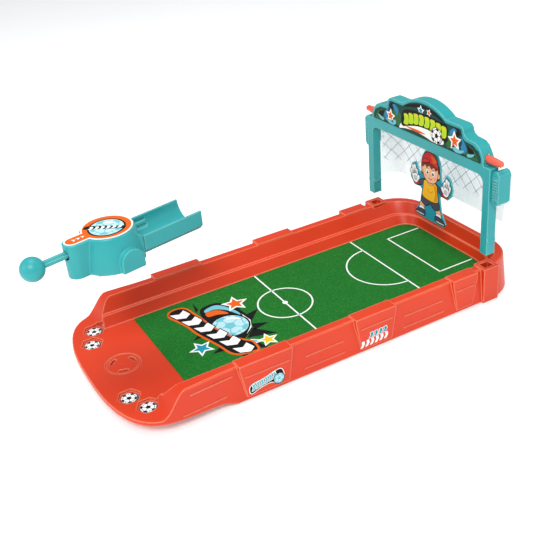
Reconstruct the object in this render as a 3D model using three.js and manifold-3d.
// Tabletop soccer shooting game: a tray with a pitch, a ball launcher on a turntable at one end
// and a goal with a sliding keeper at the other. Millimetres, +X towards the goal, +Z up.
// The tray stands on z = 0. The launcher and the goal are shown lifted out of their seats,
// as when the game is being put together; their lift joints lower them home.
import * as THREE from 'three';
import { mergeVertices } from 'three/addons/utils/BufferGeometryUtils.js';
import Module from 'manifold-3d';

const wasm = await Module();
wasm.setup();

// ---- driving dimensions, mm ----
const pitchLength = 366;
const pitchHalfWidth = 70;
const pitchEndRadius = 20;
const pitchSheetThickness = 0.5;
const pitchTop = 15;            // height of the tray floor above the table
const trayHalfWidth = 106;      // at the foot of the side walls
const apronReach = 77;          // launcher apron, beyond the start of the pitch
const apronHalfWidth = 109;     // at its widest, where it flares out past the walls
const apronCentre = -24;        // where it is widest
const apronRoundness = 2.7;     // exponent of the apron's outline
const apronLip = 11;            // lower edge of the apron above the table
const flareEnd = 30;            // where the flare has run out into the side walls
const skirtFoot = 40;           // the walls' lower edge rises to the apron's from here
const skirtRise = 7;            // how far it has risen after its short curve
const skirtCurve = 26;          // length of that curve
const endReach = 21;            // goal end wall, beyond the end of the pitch
const endCornerRadius = 46;
const rimHeight = 39;
const wallDraft = 3.6;          // how far the walls lean in up to the rim
const rimWidth = 9.5;
const trayWall = 2.4;
const rampFoot = -42;           // the side walls fall to the apron between these two stations
const rampTop = -15;
const ledgeHeight = 10;         // inner ledge above the tray floor
const ledgeRun = 8;
const ledgeWidth = 3.5;
const panelRaise = 1.2;         // raised stretches of the side walls
const panelProud = 1;           // their faces, out from the walls' feet
const panelSpans = [[37, 97], [166, 217], [287, 322]];
const labelInsets = [[10, 12], [5, 11]];   // labels' ends, in from the ends of the first two stretches
const labelFoot = 5.5;
const labelHead = 22;

const socketInset = 6.5;        // sockets' centres, in from the side walls' feet
const socketWall = 2.2;
const socketDepth = 18.5;
const socketTop = rimHeight + 1.5;

const footX = -52;              // two round feet under the apron
const footY = 27;
const footRadius = 4;

const wellRadius = 11.5;        // hexagonal wells with ball stickers
const wellDepth = 2.6;
const wellCentres = [[-53, 53], [-43, 76], [-53, -53], [-43, -76]];

const turntableX = -39;
const turntableRadius = 17.2;
const turntableFlange = 1.2;
const turntableNeckRadius = 14.8;
const retainerThickness = 1.8;
const legRadius = 11.6;         // circle on which the three launcher legs stand
const legWidth = 2.2;
const legArc = 42;              // degrees
const legDrop = 5.5;

const launcherLift = 112.4;     // launcher base above its seat
const launcherYaw = 12;         // degrees, launcher turned on its turntable at rest
const housingHeight = 34;
const housingCentre = 12;       // round part of the housing, ahead of the turntable axis
const housingTopRadius = 25.5;
const housingFootRadius = 31;
const neckEnd = -34;
const neckHalfWidth = 9.5;
const lobeStart = 3;
const lobeEnd = 27;
const lobeHalfWidth = 34;
const lobeHeight = 21;
const housingWall = 2;
const chuteStart = 30;
const chuteEnd = 103;
const chuteHalfWidth = 21;
const chuteWall = 2;
const chuteFoot = 2;
const chuteTop = 22;
const chuteSlotDepth = 1;       // grooves in the chute's inner face
const chuteSlotHalf = 1.5;
const chuteSlotSpan = [43, 63];
const chuteSlotHeights = [12, 17.5];
const plungerAxis = 24;         // above the launcher's base
const rodHalf = 4;
const rodWeb = 1.6;
const rodFit = 0.86;            // the rod's cross, as a share of the round hole's size
const knobCentre = -66;
const knobRadius = 11.5;
const strikerFace = 4;
const strikerLength = 8;
const plungerStroke = 20;
const springWire = 0.4;
const plateThickness = 2.4;     // the launcher's base plate
const bossRadius = 3.4;
const bossTop = 12.5;
const screwRadius = 1.5;
const screwHeadRadius = 3;
const screwHeadSeat = 1.4;      // screw heads sunk into the base plate

const goalLift = 29.5;          // goal above its seated position
const goalInset = 33;           // goal's face, before the end of the pitch
const postDepth = 11;
const postWidth = 9.5;
const filletRadius = 9;         // inside the goal's top corners
const barbReach = 1.6;          // barbs on the posts' shoulders
const shoulderHeight = socketTop + goalLift;
const tenonLength = 15;
const crossbarTop = 152;
const crossbarHeight = 10;
const headerDepth = 14;
const headerWall = 2.2;
const headerInset = 5.5;        // header's ends, in from the posts' centres
const headerTop = 196;
const keeperRodHeight = 158;
const keeperRodRadius = 2.5;
const handleRadius = 4;
const handleReach = 14.5;       // handles' tips, beyond the posts' centres
const keeperStroke = 18;
const boxHalfX = 8;
const boxWidth = 9.5;
const boxBottom = 113;
const boxTop = 150;
const netBottom = shoulderHeight + 1.5;
const netTop = 132;
const netReach = 43;            // back of the net, behind the goal's face
const netCorner = 22;
const netThickness = 1.2;
const netSpread = 0.8;          // net's sides, out from the posts
const keeperHalfWidth = 37;
const keeperTop = 137;
const keeperFoot = 51;
const keeperThickness = 1.6;

const gap = 0.3;                // clearance between pieces that touch
const slip = 0.4;               // running clearance of sliding and turning pieces
const stickerThickness = 0.4;
const bed = 0.1;                // printed sheets above the faces that they lie on

// ---- sizes that follow from those ----
const endX = pitchLength + endReach;
const panelFace = trayHalfWidth + panelProud;
const labelSpans = labelInsets.map(([a, b], i) => [panelSpans[i][0] + a, panelSpans[i][1] - b]);
const basinMargin = 1.5;        // tray floor around the pitch
const basinSpread = trayHalfWidth - wallDraft - rimWidth - pitchHalfWidth - basinMargin;
const launcherSeat = bed + pitchSheetThickness + gap;   // seated launcher above the tray floor
const neckInner = neckHalfWidth - housingWall;
const strikerBack = strikerFace - 3;
const strikerRadius = neckInner - slip;
const neckScrewX = strikerBack - plungerStroke - bossRadius - 1;
const baseScrews = [[15, 26], [15, -26], [neckScrewX, 0]];
const joinX = chuteStart + 6;   // face where the chute meets the housing
const ballChannelRadius = chuteHalfWidth - chuteWall;
const ballChannelAxis = chuteFoot + chuteWall + ballChannelRadius;
const postCentreY = trayHalfWidth - socketInset;
const goalFrontX = pitchLength - goalInset;
const headerHalfWidth = postCentreY - headerInset;
const handleTip = postCentreY + handleReach;
const netBack = goalFrontX + netReach;
const postInner = postCentreY - postWidth / 2;
const postOuter = postCentreY + postWidth / 2;
const crossbarBottom = crossbarTop - crossbarHeight;
const netHalfWidth = postOuter + netSpread;
const goalBackX = goalFrontX + postDepth;
const headerBackX = goalFrontX + headerDepth;
const rodX = goalFrontX + headerWall + handleRadius + 1;
const slotTop = keeperRodHeight + 6;    // the keeper's slot in the back of the header
const clipX = goalBackX + 1.6;
const keeperFrontX = clipX - gap - keeperThickness;

// ---- finishes ----
const finish = (color, roughness) => new THREE.MeshStandardMaterial({ color, roughness, metalness: 0 });
const coral = finish(0xee5a38, 0.42);
const teal = finish(0x3fb8ba, 0.4);
const grass = finish(0x2d8737, 0.85);
const printed = finish(0xe8e8e0, 0.45);
const clearWhite = finish(0xf0f4f4, 0.3);
const steel = new THREE.MeshStandardMaterial({ color: 0xb8bcc0, roughness: 0.35, metalness: 1 });

// ---- solids ----
function solid(geometry) {
  const bare = geometry.clone();
  bare.deleteAttribute('normal');
  bare.deleteAttribute('uv');
  const merged = mergeVertices(bare, 1e-4);
  return new wasm.Manifold(new wasm.Mesh({
    numProp: 3,
    vertProperties: new Float32Array(merged.attributes.position.array),
    triVerts: new Uint32Array(merged.index.array),
  }));
}

function geometryOf(manifold) {
  const mesh = manifold.getMesh();
  const geometry = new THREE.BufferGeometry();
  geometry.setAttribute('position', new THREE.BufferAttribute(new Float32Array(mesh.vertProperties), 3));
  geometry.setIndex(new THREE.BufferAttribute(new Uint32Array(mesh.triVerts), 1));
  return geometry;
}

const shapeOf = (points) => new THREE.Shape(points.map(([x, y]) => new THREE.Vector2(x, y)));

// upright prism: outline in X and Y, from z0 to z1
function prism(points, z0, z1) {
  const g = new THREE.ExtrudeGeometry(shapeOf(points), { depth: z1 - z0, bevelEnabled: false });
  return solid(g.translate(0, 0, z0));
}

// slab across X: outline in Y and Z, from x0 to x1
function slabX(points, x0, x1) {
  const g = new THREE.ExtrudeGeometry(shapeOf(points), { depth: x1 - x0, bevelEnabled: false });
  const turn = new THREE.Matrix4().set(0, 0, 1, x0, 1, 0, 0, 0, 0, 1, 0, 0, 0, 0, 0, 1);
  return solid(g.applyMatrix4(turn));
}

// slab across Y: outline in X and Z, from y0 to y1
function slabY(points, y0, y1) {
  const g = new THREE.ExtrudeGeometry(shapeOf(points), { depth: y1 - y0, bevelEnabled: false });
  const turn = new THREE.Matrix4().set(1, 0, 0, 0, 0, 0, -1, y1, 0, 1, 0, 0, 0, 0, 0, 1);
  return solid(g.applyMatrix4(turn));
}

function block(x0, x1, y0, y1, z0, z1) {
  const g = new THREE.BoxGeometry(x1 - x0, y1 - y0, z1 - z0);
  return solid(g.translate((x0 + x1) / 2, (y0 + y1) / 2, (z0 + z1) / 2));
}

// closed body through rings of equal point counts, each { z, points }
function loft(rings) {
  const count = rings[0].points.length;
  const position = rings.flatMap(({ z, points }) => points.flatMap(([x, y]) => [x, y, z]));
  const index = [];
  for (let k = 0; k + 1 < rings.length; k++) {
    for (let i = 0; i < count; i++) {
      const a = k * count + i;
      const b = k * count + (i + 1) % count;
      index.push(a, b, b + count, a, b + count, a + count);
    }
  }
  const flat = rings[0].points.map(([x, y]) => new THREE.Vector2(x, y));
  const top = (rings.length - 1) * count;
  const lid = rings.at(-1).points.map(([x, y]) => new THREE.Vector2(x, y));
  for (const [a, b, c] of THREE.ShapeUtils.triangulateShape(flat, [])) index.push(a, c, b);
  for (const [a, b, c] of THREE.ShapeUtils.triangulateShape(lid, [])) index.push(top + a, top + b, top + c);
  const g = new THREE.BufferGeometry();
  g.setAttribute('position', new THREE.Float32BufferAttribute(position, 3));
  g.setIndex(index);
  return solid(g);
}

// round body about Z from a profile of [radius, z] that starts and ends on the axis
function turned(profile, segments = 40) {
  return solid(new THREE.LatheGeometry(profile.map(([r, z]) => new THREE.Vector2(r, z)), segments)
    .rotateX(Math.PI / 2));
}

// the same, about an axis along X or Y, its profile's z running along that axis
const alongX = (profile, segments) => turned(profile, segments).rotate([0, 90, 0]);
const alongY = (profile, segments) => turned(profile, segments).rotate([-90, 0, 0]);
const rod = (radius, from, to) => [[0, from], [radius, from], [radius, to], [0, to]];

function arc(cx, cy, radius, from, to, steps) {
  return Array.from({ length: steps + 1 }, (_, i) => {
    const t = THREE.MathUtils.degToRad(from + (to - from) * i / steps);
    return [cx + radius * Math.cos(t), cy + radius * Math.sin(t)];
  });
}

// ---- assembly ----
const assembly = new THREE.Group();
const turntableGroup = new THREE.Group();
turntableGroup.position.set(turntableX, 0, pitchTop);
turntableGroup.rotation.z = THREE.MathUtils.degToRad(launcherYaw);
const launcherGroup = new THREE.Group();
launcherGroup.position.z = launcherLift + launcherSeat;
turntableGroup.add(launcherGroup);
assembly.add(turntableGroup);

function place(name, body, material, parent = assembly) {
  const mesh = new THREE.Mesh(geometryOf(body), material);
  mesh.name = name;
  parent.add(mesh);
  return mesh;
}

// ---- tray ----
const eased = (t) => t * t * (3 - 2 * t);

// outer outline, anticlockwise, drawn in by inset
function trayOutline(inset) {
  const w = trayHalfWidth - inset;
  const half = apronHalfWidth - inset;
  const reach = apronReach + apronCentre - inset;
  const power = 2 / apronRoundness;
  const apron = Array.from({ length: 29 }, (_, i) => {
    const t = Math.PI / 2 * (1 + i / 14);
    const c = Math.abs(Math.cos(t)) ** power;
    const s = Math.sign(Math.sin(t)) * Math.abs(Math.sin(t)) ** power;
    return [apronCentre - reach * c, half * s];
  });
  const flare = [0, 0.25, 0.5, 0.75].map((t) =>
    [flareEnd + (apronCentre - flareEnd) * t, w + (half - w) * eased(t)]);
  const flareBack = flare.map(([x, y]) => [x, -y]).reverse();
  const cx = endX - endCornerRadius;
  const cy = trayHalfWidth - endCornerRadius;
  const r = endCornerRadius - inset;
  return [...arc(cx, -cy, r, -90, 0, 10), ...arc(cx, cy, r, 0, 90, 10), ...flare, ...apron, ...flareBack];
}

// inner basin, open over the apron: half width, far end and corner radius of one level
function basinRing(z, grow) {
  const w = pitchHalfWidth + basinMargin + grow;
  const x = pitchLength + basinMargin + grow * (endReach - wallDraft - rimWidth + 1) / basinSpread;
  const r = pitchEndRadius + grow * 0.8;
  const open = -apronReach * 3;
  const corners = [...arc(x - r, r - w, r, -90, 0, 7), ...arc(x - r, w - r, r, 0, 90, 7)];
  return { z, points: [...corners, [open, w], [open, -w]] };
}

// the basin, sunk and widened by skin for the underside
function basin(skin) {
  const z = pitchTop - skin;
  return loft([
    basinRing(z, skin * 0.4),
    basinRing(z + ledgeHeight, ledgeRun + skin * 0.4),
    basinRing(z + ledgeHeight + 0.4, ledgeRun + ledgeWidth + skin),
    basinRing(z + rimHeight - pitchTop - 1.2 + skin * 0.5, basinSpread - 1.2 + skin),
    basinRing(z + rimHeight - pitchTop + skin * 0.5, basinSpread + skin),
    basinRing(rimHeight + 20, basinSpread + skin),
  ]);
}

// everything above the apron, with the walls' curved end ramps
function rampCut(skin) {
  const steps = 8;
  const curve = Array.from({ length: steps + 1 }, (_, i) => {
    const t = i / steps;
    return [rampFoot + skin + (rampTop - rampFoot) * t,
      pitchTop - skin + (rimHeight + 0.01 - pitchTop) * eased(t)];
  });
  const high = rimHeight + 30;
  const away = -apronReach * 3;
  return slabY([[away, pitchTop - skin], ...curve, [rampTop + skin, high], [away, high]],
    -trayHalfWidth * 2, trayHalfWidth * 2);
}

// everything below the apron's lip, and below the walls' lower edge where it runs down to the table
function skirtCut() {
  const steps = 6;
  const curve = Array.from({ length: steps + 1 }, (_, i) => {
    const t = i / steps;
    return [skirtFoot - skirtCurve * t, skirtRise * eased(t) - 0.01];
  });
  return slabY([...curve, [rampFoot, apronLip], [-apronReach * 3, apronLip], [-apronReach * 3, -10],
    [skirtFoot, -10]].reverse(), -apronHalfWidth * 2, apronHalfWidth * 2);
}

function outerBody(inset, top) {
  return loft([
    { z: inset ? -5 : 0, points: trayOutline(1 + inset) },
    { z: inset ? -2 : 1, points: trayOutline(inset) },
    { z: top - 1, points: trayOutline(wallDraft + inset) },
    { z: top, points: trayOutline(wallDraft + 1 + inset) },
  ]);
}

// raised stretch of wall with slanted ends
function wallPanel([x0, x1], side) {
  const high = rimHeight + panelRaise;
  const slant = 7;
  const end = 1.5;
  const outline = [[x0 + slant, 4], [x1 - slant, 4], [x1 - end, high - 5], [x1 - end, high],
    [x0 + end, high], [x0 + end, high - 5]];
  const inner = trayHalfWidth - wallDraft - rimWidth - 1;
  return side > 0 ? slabY(outline, inner, panelFace) : slabY(outline, -panelFace, -inner);
}

const hexagon = ([cx, cy], radius) => arc(cx, cy, radius, 0, 300, 5);

const socketX = [goalFrontX - gap, goalFrontX + postDepth + gap];
const socketHalfY = postWidth / 2 + gap;

function socketPost(side) {
  const y = side * postCentreY;
  const half = socketHalfY + socketWall + 1.5;
  return block(socketX[0] - socketWall - 2, socketX[1] + socketWall + 2, y - half, y + half, 0, socketTop);
}

function socketHole(side) {
  const y = side * postCentreY;
  return block(socketX[0], socketX[1], y - socketHalfY, y + socketHalfY,
    socketTop - socketDepth, socketTop + 5);
}

function trayShell() {
  let body = outerBody(0, rimHeight);
  for (const side of [-1, 1]) for (const span of panelSpans) body = body.add(wallPanel(span, side));
  body = body.subtract(rampCut(0)).subtract(basin(0));
  const under = outerBody(trayWall, rimHeight - trayWall)
    .subtract(rampCut(trayWall)).subtract(basin(trayWall));
  body = body.subtract(under).subtract(skirtCut());
  for (const side of [-1, 1]) {
    body = body.add(turned(rod(footRadius, 0, pitchTop - 1), 20).translate([footX, side * footY, 0]));
  }
  for (const centre of wellCentres) {
    body = body.add(prism(hexagon(centre, wellRadius + 2), pitchTop - wellDepth - 2, pitchTop - 1));
  }
  for (const side of [-1, 1]) body = body.add(socketPost(side));
  for (const side of [-1, 1]) body = body.subtract(socketHole(side));
  for (const centre of wellCentres) {
    body = body.subtract(prism(hexagon(centre, wellRadius), pitchTop - wellDepth, pitchTop + 8));
  }
  const seat = turned(rod(turntableRadius + slip, pitchTop - turntableFlange, pitchTop + 5), 48);
  const bore = turned(rod(turntableNeckRadius + slip, 0, pitchTop + 5), 48);
  return body.subtract(seat.add(bore).translate([turntableX, 0, 0]));
}

place('tray_shell', trayShell(), coral);

function pitchOutline() {
  const r = pitchEndRadius;
  const x = pitchLength - r;
  const y = pitchHalfWidth - r;
  const c = 2;
  return [...arc(x, -y, r, -90, 0, 8), ...arc(x, y, r, 0, 90, 8),
    ...arc(c, pitchHalfWidth - c, c, 90, 180, 2), ...arc(c, c - pitchHalfWidth, c, 180, 270, 2)];
}
place('pitch_sheet', prism(pitchOutline(), pitchTop + bed, pitchTop + bed + pitchSheetThickness), grass);

wellCentres.forEach((centre, i) => {
  const z = pitchTop - wellDepth + bed;
  place(`well_sticker_${i + 1}`, prism(hexagon(centre, wellRadius - 1.2), z, z + stickerThickness), printed);
});

// printed labels on the faces of the first two raised stretches of both side walls
for (const [tag, side] of [['near', -1], ['far', 1]]) {
  labelSpans.forEach(([x0, x1], i) => {
    const outline = [[x0, labelFoot], [x1, labelFoot], [x1 + 2, labelHead], [x0 - 2, labelHead]];
    const face = side * (panelFace + bed + stickerThickness / 2);
    place(`side_label_${tag}_${i + 1}`,
      slabY(outline, face - stickerThickness / 2, face + stickerThickness / 2), printed);
  });
}

// ---- turntable ----
function legSector(radius, width, spread, z0, z1, turn) {
  const points = [...arc(0, 0, radius + width / 2, turn - spread / 2, turn + spread / 2, 6),
    ...arc(0, 0, radius - width / 2, turn + spread / 2, turn - spread / 2, 6)];
  return prism(points, z0, z1);
}
const legTurns = [0, 120, 240];
const cutLegSlots = (body) => legTurns.reduce((left, turn) =>
  left.subtract(legSector(legRadius, legWidth + 2 * slip, legArc + 5, -20, 20, turn)), body);

const discBottom = -trayWall - slip;
place('turntable_disc', cutLegSlots(turned([[0, discBottom], [turntableNeckRadius, discBottom],
  [turntableNeckRadius, -turntableFlange + slip / 2], [turntableRadius, -turntableFlange + slip / 2],
  [turntableRadius, -0.4], [turntableRadius - 0.6, 0], [0, 0]], 48))
  .subtract(turned(rod(screwRadius + 0.1, -20, -1), 16)), coral, turntableGroup);

const retainerTop = discBottom - gap;
const retainerBottom = retainerTop - retainerThickness;
place('turntable_retainer', cutLegSlots(turned(rod(turntableRadius + 1.5, retainerBottom, retainerTop), 40))
  .subtract(turned(rod(screwRadius + 0.3, -20, 20), 16)), coral, turntableGroup);

const screwBody = (length) => turned([[0, -1.6], [screwHeadRadius, -1.6], [screwHeadRadius, -0.6],
  [screwRadius + 0.4, 0], [screwRadius, 0], [screwRadius, length - 1], [0, length]], 16);
place('turntable_screw', screwBody(3.2).scale([0.9, 0.9, 1]).translate([0, 0, retainerBottom - 0.1]), steel,
  turntableGroup);

// ---- launcher ----
// one skin of the housing: the outside with inset 0, its hollow with inset housingWall
function housingSkin(inset) {
  const floor = inset ? -5 : 0;
  const top = housingHeight - inset;
  const foot = housingFootRadius - inset;
  const crown = housingTopRadius - inset;
  const dome = turned([[0, floor], [foot, floor], [foot, 5], [foot - 1.4, 14], [crown + 1.4, 28],
    [crown, top - 1], [crown - 1, top], [0, top]], 48).translate([housingCentre, 0, 0]);
  const w = neckHalfWidth - inset;
  const neckRound = arc(neckEnd + neckHalfWidth, 0, w, 90, 270, 10);
  const neck = prism([...neckRound, [housingCentre, -w], [housingCentre, w]], floor, top);
  const half = (lobeEnd - lobeStart) / 2;
  const rise = lobeHeight - half;
  const arch = [[lobeEnd - inset, floor], ...arc(lobeStart + half, rise, half - inset, 0, 180, 10),
    [lobeStart + inset, floor]];
  const lobes = slabY(arch, inset - lobeHalfWidth, lobeHalfWidth - inset);
  const reach = joinX + (inset ? 5 : 0);
  const collar = slabY([[housingCentre, floor], [reach, floor], [reach, chuteTop - inset],
    [chuteStart, 28 - inset], [housingCentre + 14, top - 4], [housingCentre, top - 4]],
    inset - chuteHalfWidth, chuteHalfWidth - inset);
  return dome.add(neck).add(lobes).add(collar);
}

function launcherHousing() {
  const mouthTop = 27;
  const bore = alongX(rod(rodHalf + slip + 0.6, -60, 0), 24).translate([0, 0, plungerAxis]);
  const mouth = slabX([...arc(0, ballChannelAxis, ballChannelRadius, 180, 360, 14),
    [ballChannelRadius, mouthTop], [-ballChannelRadius, mouthTop]], chuteStart - 8, chuteStart + 30);
  const exit = slabX([[-chuteHalfWidth - 9, -1], [chuteHalfWidth + 9, -1], [chuteHalfWidth + 9, chuteTop],
    [-chuteHalfWidth - 9, chuteTop]], joinX, chuteStart + 30);
  const lip = housingSkin(0).subtract(housingSkin(housingWall));
  const boss = (top) => turned(rod(bossRadius, plateThickness + gap, top), 20);
  const bosses = baseScrews.reduce((all, [x, y]) => all
    .add(boss(y ? lobeHeight - 1 : bossTop).translate([x, y, 0])),
  block(neckScrewX - 2, neckScrewX + 2, 1 - neckHalfWidth, neckHalfWidth - 1, plateThickness + gap, bossTop));
  const shanks = baseScrews.map(([x, y]) =>
    turned(rod(screwRadius + 0.15, 0, bossTop - 1), 16).translate([x, y, 0]));
  return shanks.reduce((body, hole) => body.subtract(hole), lip.add(bosses))
    .subtract(bore).subtract(mouth).subtract(exit);
}
place('launcher_housing', launcherHousing(), teal, launcherGroup);

// base plate inside the housing's foot, with three legs that drop into the turntable
function launcherBase() {
  const grow = housingWall + gap;
  const thick = plateThickness;
  const round = turned(rod(housingFootRadius - grow, 0, thick), 48).translate([housingCentre, 0, 0]);
  const w = neckHalfWidth - grow;
  const tail = prism([...arc(neckEnd + neckHalfWidth, 0, w, 90, 270, 8), [0, -w], [0, w]], 0, thick);
  const lobes = block(lobeStart + grow, lobeEnd - grow, grow - lobeHalfWidth, lobeHalfWidth - grow, 0, thick);
  const plate = round.add(tail).add(lobes).subtract(block(joinX - gap, 90, -60, 60, -5, 5));
  const legs = legTurns.reduce((all, turn) =>
    all.add(legSector(legRadius, legWidth, legArc, -legDrop, 1, turn)), plate);
  const sunk = screwHeadRadius + gap;
  const through = screwRadius + 0.6;
  const hole = turned([[0, -1], [sunk, -1], [sunk, screwHeadSeat], [through, screwHeadSeat + 0.7],
    [through, 9], [0, 9]], 16);
  return baseScrews.reduce((body, [x, y]) => body.subtract(hole.translate([x, y, 0])), legs);
}
place('launcher_base', launcherBase(), teal, launcherGroup);

// round-ended slot outline in X and Z
const slotOutline = (x0, x1, z, r) => [...arc(x1 - r, z, r, -90, 90, 5), ...arc(x0 + r, z, r, 90, 270, 5)];

function launcherChute() {
  const w = chuteHalfWidth;
  const r = ballChannelRadius;
  const section = [[-w, chuteTop], [-w, chuteFoot + 5], [5 - w, chuteFoot], [w - 5, chuteFoot],
    [w, chuteFoot + 5], [w, chuteTop], ...arc(0, ballChannelAxis, r, -3, -177, 18)];
  let body = slabX(section, joinX + gap, chuteEnd);
  const slotRadius = r + chuteSlotDepth;
  const reach = alongX(rod(slotRadius, chuteStart, chuteEnd), 48).translate([0, 0, ballChannelAxis]);
  for (const z of chuteSlotHeights) {
    const across = slabY(slotOutline(...chuteSlotSpan, z, chuteSlotHalf), -w, w);
    body = body.subtract(across.intersect(reach));
  }
  return body;
}
place('launcher_chute', launcherChute(), teal, launcherGroup);

// keyhole-shaped printed label on the housing's top
const labelDisc = housingTopRadius - 1.3;
const labelTail = neckHalfWidth - 1.8;
function keyhole(r, w) {
  const open = THREE.MathUtils.radToDeg(Math.asin(w / r));
  return [...arc(housingCentre, 0, r, open - 180, 180 - open, 40),
    ...arc(neckEnd + neckHalfWidth, 0, w, 90, 270, 12)];
}
place('launcher_label', prism(keyhole(labelDisc, labelTail), housingHeight + bed,
  housingHeight + bed + stickerThickness), printed, launcherGroup);

baseScrews.forEach(([x, y], i) => {
  place(`base_screw_${i + 1}`, screwBody(8).translate([x, y, screwHeadSeat + 0.4]), steel, launcherGroup);
});

// ---- plunger ----
const plungerGroup = new THREE.Group();
plungerGroup.position.z = plungerAxis;
launcherGroup.add(plungerGroup);

const knobNeck = knobCentre + Math.sqrt(knobRadius ** 2 - 25);
function plungerRod() {
  const quarter = [[rodHalf, rodWeb], [rodWeb, rodWeb], [rodWeb, rodHalf]];
  const cross = [0, 1, 2, 3].flatMap((turn) => quarter.map(([y, z]) => {
    const [c, s] = [[1, 0], [0, 1], [-1, 0], [0, -1]][turn];
    return [(y * c - z * s) * rodFit, (y * s + z * c) * rodFit];
  }));
  return slabX(cross, knobNeck + gap, strikerBack - gap);
}
place('plunger_rod', plungerRod(), teal, plungerGroup);

function knobProfile() {
  const ball = arc(0, 0, knobRadius, -90, 64, 16);
  return [[0, -knobRadius], ...ball.slice(1), [5, knobNeck - knobCentre], [0, knobNeck - knobCentre]];
}
place('plunger_knob', alongX(knobProfile(), 32).translate([knobCentre, 0, 0]), teal, plungerGroup);
const strikerFront = strikerBack + strikerLength;
place('striker_head', alongX([[0, strikerBack], [strikerRadius - 1, strikerBack],
  [strikerRadius, strikerBack + 2], [strikerRadius, strikerFront - 2], [strikerRadius - 2, strikerFront],
  [0, strikerFront]], 32), teal, plungerGroup);

// return spring on the rod, at the length it has with the plunger pulled right back
class Helix extends THREE.Curve {
  constructor(radius, length, turns) {
    super();
    Object.assign(this, { radius, length, turns });
  }
  getPoint(t, target = new THREE.Vector3()) {
    const a = 2 * Math.PI * this.turns * t;
    return target.set(this.length * t, this.radius * Math.cos(a), this.radius * Math.sin(a));
  }
}
const springRadius = rodHalf + 1.4;
const springOuter = springRadius + springWire;
const springSeat = neckEnd + neckHalfWidth - Math.sqrt(neckInner ** 2 - springOuter ** 2) + springWire + gap;
const springEnd = strikerBack - plungerStroke - springWire - gap;
const wireShape = shapeOf(arc(0, 0, springWire, 0, 288, 4));
const springGeometry = new THREE.ExtrudeGeometry(wireShape, {
  steps: 96, bevelEnabled: false, extrudePath: new Helix(springRadius, springEnd - springSeat, 6),
});
place('plunger_spring', solid(springGeometry).translate([springSeat, 0, plungerAxis]), steel, launcherGroup);

// ---- goal ----
const goalGroup = new THREE.Group();
assembly.add(goalGroup);

// half outline of the header, from its end to the crown, as [y, z] above the crossbar
function headerHalf(inset) {
  const end = headerHalfWidth - inset;
  const crown = headerTop - inset;
  const ear = crown - 11;
  const earOuter = 64 - inset;
  const earInner = 36;
  const crownRadius = (earInner ** 2 + (crown - ear) ** 2) / (2 * (crown - ear));
  const sweep = THREE.MathUtils.radToDeg(Math.asin(earInner / crownRadius));
  const arch = arc(0, crown - crownRadius, crownRadius, 90 - sweep, 90, 8);
  const earRound = 6 - inset;
  const step = crossbarTop + 21 - inset;
  return [[end, crossbarTop + 7], [end - 4, crossbarTop + 14], [end - 7, step - 3], [end - 12, step],
    [earOuter + 6, ear - 11], [earOuter + 2, ear - 9],
    ...arc(earOuter - earRound, ear - earRound, earRound, 0, 90, 4), ...arch];
}

function headerOutline(inset, floor) {
  const half = headerHalf(inset);
  const other = half.slice(0, -1).map(([y, z]) => [-y, z]).reverse();
  const foot = headerHalfWidth - inset;
  return [[-foot, floor], [foot, floor], ...half, ...other];
}

// posts, crossbar and header shell, one moulding
function goalFrame() {
  const front = goalFrontX;
  let body = slabX(headerOutline(0, crossbarTop - 3), front, headerBackX);
  body = body.subtract(slabX(headerOutline(headerWall, crossbarTop), front + headerWall, headerBackX + 5));
  const slotHalf = postInner - 6;
  body = body.subtract(block(goalBackX, headerBackX + 5, -slotHalf, slotHalf, 0, keeperRodHeight));
  body = body.add(block(front, goalBackX, -postOuter, postOuter, crossbarBottom, crossbarTop));
  for (const side of [-1, 1]) {
    const y0 = Math.min(side * postInner, side * postOuter);
    const y1 = y0 + postWidth;
    body = body.add(block(front, goalBackX, y0, y1, shoulderHeight - tenonLength, crossbarTop));
    const filletY = side * (postInner - filletRadius);
    const filletZ = crossbarBottom - filletRadius;
    const fillet = [[side * (postInner + 1), crossbarBottom + 1], [filletY, crossbarBottom + 1],
      ...arc(filletY, filletZ, filletRadius, 90, side > 0 ? 0 : 180, 6), [side * (postInner + 1), filletZ]];
    body = body.add(slabX(side > 0 ? fillet.reverse() : fillet, front, goalBackX));
    const barb = [[y0 - barbReach, shoulderHeight], [y1 + barbReach, shoulderHeight],
      [y1, shoulderHeight + 6], [y0, shoulderHeight + 6]];
    body = body.add(slabX(barb, front + 0.5, goalBackX - 0.5));
  }
  const rodHole = alongY(rod(handleRadius + slip + 0.1, -150, 150), 24).translate([rodX, 0, keeperRodHeight]);
  return body.subtract(rodHole);
}
place('goal_frame', goalFrame(), teal, goalGroup);

// cover behind the header, its lower edge high enough to leave the keeper's slot
const backCover = slabX(headerOutline(headerWall + gap, crossbarTop), headerBackX - 2, headerBackX)
  .subtract(block(goalFrontX, headerBackX + 5, -150, 150, 0, slotTop));
const bossY = headerHalfWidth - 28;
const bossZ = crossbarTop + 15;
const bossSeat = [[bossY, bossZ], [50, headerTop - 18], [-50, headerTop - 18], [-bossY, bossZ]];
const backBoss = alongX(rod(3.2, goalFrontX + headerWall + gap, headerBackX - 1), 16);
place('header_back', bossSeat.reduce((body, [y, z]) => body.add(backBoss.translate([0, y, z])), backCover),
  teal, goalGroup);
bossSeat.forEach(([y, z], i) => {
  const r = screwHeadRadius - 0.6;
  const height = 1.2;
  place(`header_screw_${i + 1}`, alongX([[0, 0], [r, 0], [r, height / 2], [r - 0.7, height], [0, height]], 16)
    .translate([headerBackX + gap, y, z]), steel, goalGroup);
});

// printed sheet in the header's face
place('header_sticker', slabX(headerOutline(3.4, crossbarTop + 2), goalFrontX - bed - stickerThickness,
  goalFrontX - bed), printed, goalGroup);

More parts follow.
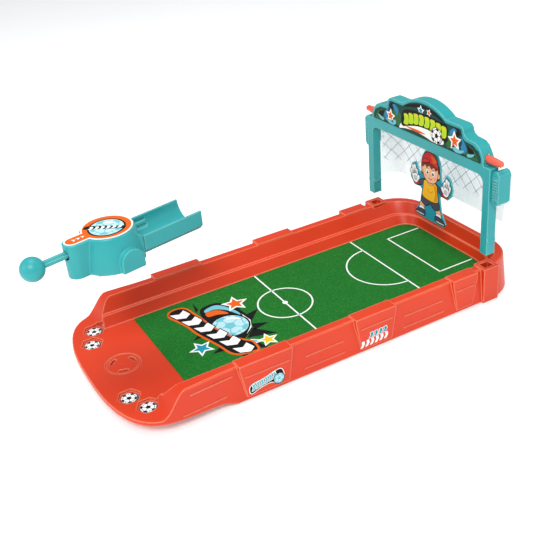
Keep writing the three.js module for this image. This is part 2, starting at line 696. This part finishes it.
// housings that hold the net beside the posts, each with a ribbed grille in its face
const boxX = [goalFrontX + 3, goalFrontX + 3 + 2 * boxHalfX];
for (const [tag, side] of [['near', -1], ['far', 1]]) {
  const y0 = side > 0 ? postOuter + gap : -postOuter - gap - boxWidth;
  const chamfer = 3;
  const y1 = y0 + boxWidth;
  const face = [[y0, boxBottom + chamfer], [y0 + chamfer, boxBottom], [y1 - chamfer, boxBottom],
    [y1, boxBottom + chamfer], [y1, boxTop - chamfer], [y1 - chamfer, boxTop], [y0 + chamfer, boxTop],
    [y0, boxTop - chamfer]];
  const grillePocket = block(boxX[0] - 5, boxX[0] + 1.2, y0 + 1.4, y1 - 1.4, boxBottom + 4, boxTop - 6);
  place(`side_box_${tag}`, slabX(face, ...boxX).subtract(grillePocket), teal, goalGroup);
  let grille = block(boxX[0] + 0.4, boxX[0] + 1, y0 + 1.7, y1 - 1.7, boxBottom + 4.3, boxTop - 6.3);
  for (let z = boxBottom + 6; z < boxTop - 8; z += 3) {
    grille = grille.add(block(boxX[0] - 0.6, boxX[0] + 0.6, y0 + 1.7, y1 - 1.7, z, z + 1.4));
  }
  place(`grille_${tag}`, grille, teal, goalGroup);
}

// curved net sheet, its two ends fixed behind the side boxes
const netFrontX = boxX[1] + gap;
function netPath(offset) {
  const w = netHalfWidth + offset;
  const r = netCorner + offset;
  const cx = netBack - netCorner;
  const cy = netHalfWidth - netCorner;
  return [[netFrontX, -w], ...arc(cx, -cy, r, -90, 0, 10), ...arc(cx, cy, r, 0, 90, 10), [netFrontX, w]];
}
const netSection = [...netPath(netThickness / 2), ...netPath(-netThickness / 2).reverse()];
place('net_sheet', prism(netSection, netBottom, netTop), clearWhite, goalGroup);

// snap pins that hold the sheet to the side boxes
for (const [tag, side] of [['near', -1], ['far', 1]]) {
  [boxBottom + 6, netTop - 6].forEach((z, i) => {
    const pin = alongY([[0, 0], [1.6, 0], [2, 0.8], [1.4, 1.4], [0, 1.4]], 16);
    const y = netHalfWidth + netThickness / 2 + gap;
    const turnedPin = side > 0 ? pin : pin.rotate([180, 0, 0]);
    place(`net_pin_${tag}_${i + 1}`, turnedPin.translate([netFrontX + 4, side * y, z]), teal, goalGroup);
  });
}

// ---- keeper ----
const keeperRodEnd = handleTip - 42;
place('keeper_rod', alongY(rod(keeperRodRadius, -keeperRodEnd, keeperRodEnd), 20)
  .translate([rodX, 0, keeperRodHeight]), coral, goalGroup);
for (const [tag, side] of [['near', -1], ['far', 1]]) {
  const from = keeperRodEnd + gap;
  const grip = alongY([[0, from], [handleRadius, from], [handleRadius, handleTip - 12],
    [handleRadius - 0.8, handleTip - 2], [handleRadius - 2, handleTip], [0, handleTip]], 24);
  place(`handle_${tag}`, (side > 0 ? grip : grip.rotate([180, 0, 0])).translate([rodX, 0, keeperRodHeight]),
    coral, goalGroup);
}

// clip that hangs on the rod and passes behind the crossbar
function keeperClip() {
  const clipThickness = 1.8;
  const bore = keeperRodRadius + gap;
  const eye = keeperRodRadius + 2.5;
  const ring = alongY([[bore, -6], [eye, -6], [eye, 6], [bore, 6], [bore, -6]], 24)
    .translate([rodX, 0, keeperRodHeight]);
  const arm = block(clipX, clipX + clipThickness, -5, 5, keeperTop - 26, keeperRodHeight + 2);
  const bridge = block(rodX + 3.6, clipX + 1, -5, 5, keeperRodHeight - 2, keeperRodHeight + 2);
  return ring.add(arm).add(bridge);
}
place('keeper_clip', keeperClip(), teal, goalGroup);

// half outline of the goalkeeper cut-out, feet to crown, as [y, z] shares of its size
function keeperOutline(inset) {
  const w = keeperHalfWidth;
  const h = keeperTop - keeperFoot;
  const at = (u, v) => [u * w, keeperFoot + v * h];
  const right = [at(0.62, 0), at(0.72, 0.06), at(0.6, 0.13), at(0.5, 0.2), at(0.46, 0.3), at(0.42, 0.4),
    at(0.5, 0.43), at(0.78, 0.42), at(0.96, 0.5), at(1, 0.6), at(0.9, 0.72), at(0.74, 0.76), at(0.6, 0.66),
    at(0.48, 0.62), at(0.46, 0.74), at(0.42, 0.88), at(0.28, 0.97), at(0.1, 1)];
  const left = right.map(([y, z]) => [-y, z]).reverse();
  const loop = [...right, ...left];
  const middle = keeperFoot + h / 2;
  return loop.map(([y, z]) => [y * (1 - inset / w), z + (z > middle ? -inset : inset)]);
}
place('keeper_board', slabX(keeperOutline(0), keeperFrontX, keeperFrontX + keeperThickness), teal, goalGroup);
place('keeper_print', slabX(keeperOutline(1.4), keeperFrontX - bed - stickerThickness, keeperFrontX - bed),
  printed, goalGroup);

// the middle of the whole game stands over the origin
const extent = new THREE.Box3().setFromObject(assembly, true);
assembly.position.x = -(extent.min.x + extent.max.x) / 2;
assembly.position.y = -(extent.min.y + extent.max.y) / 2;
assembly.position.z = -extent.min.z;

export default assembly;
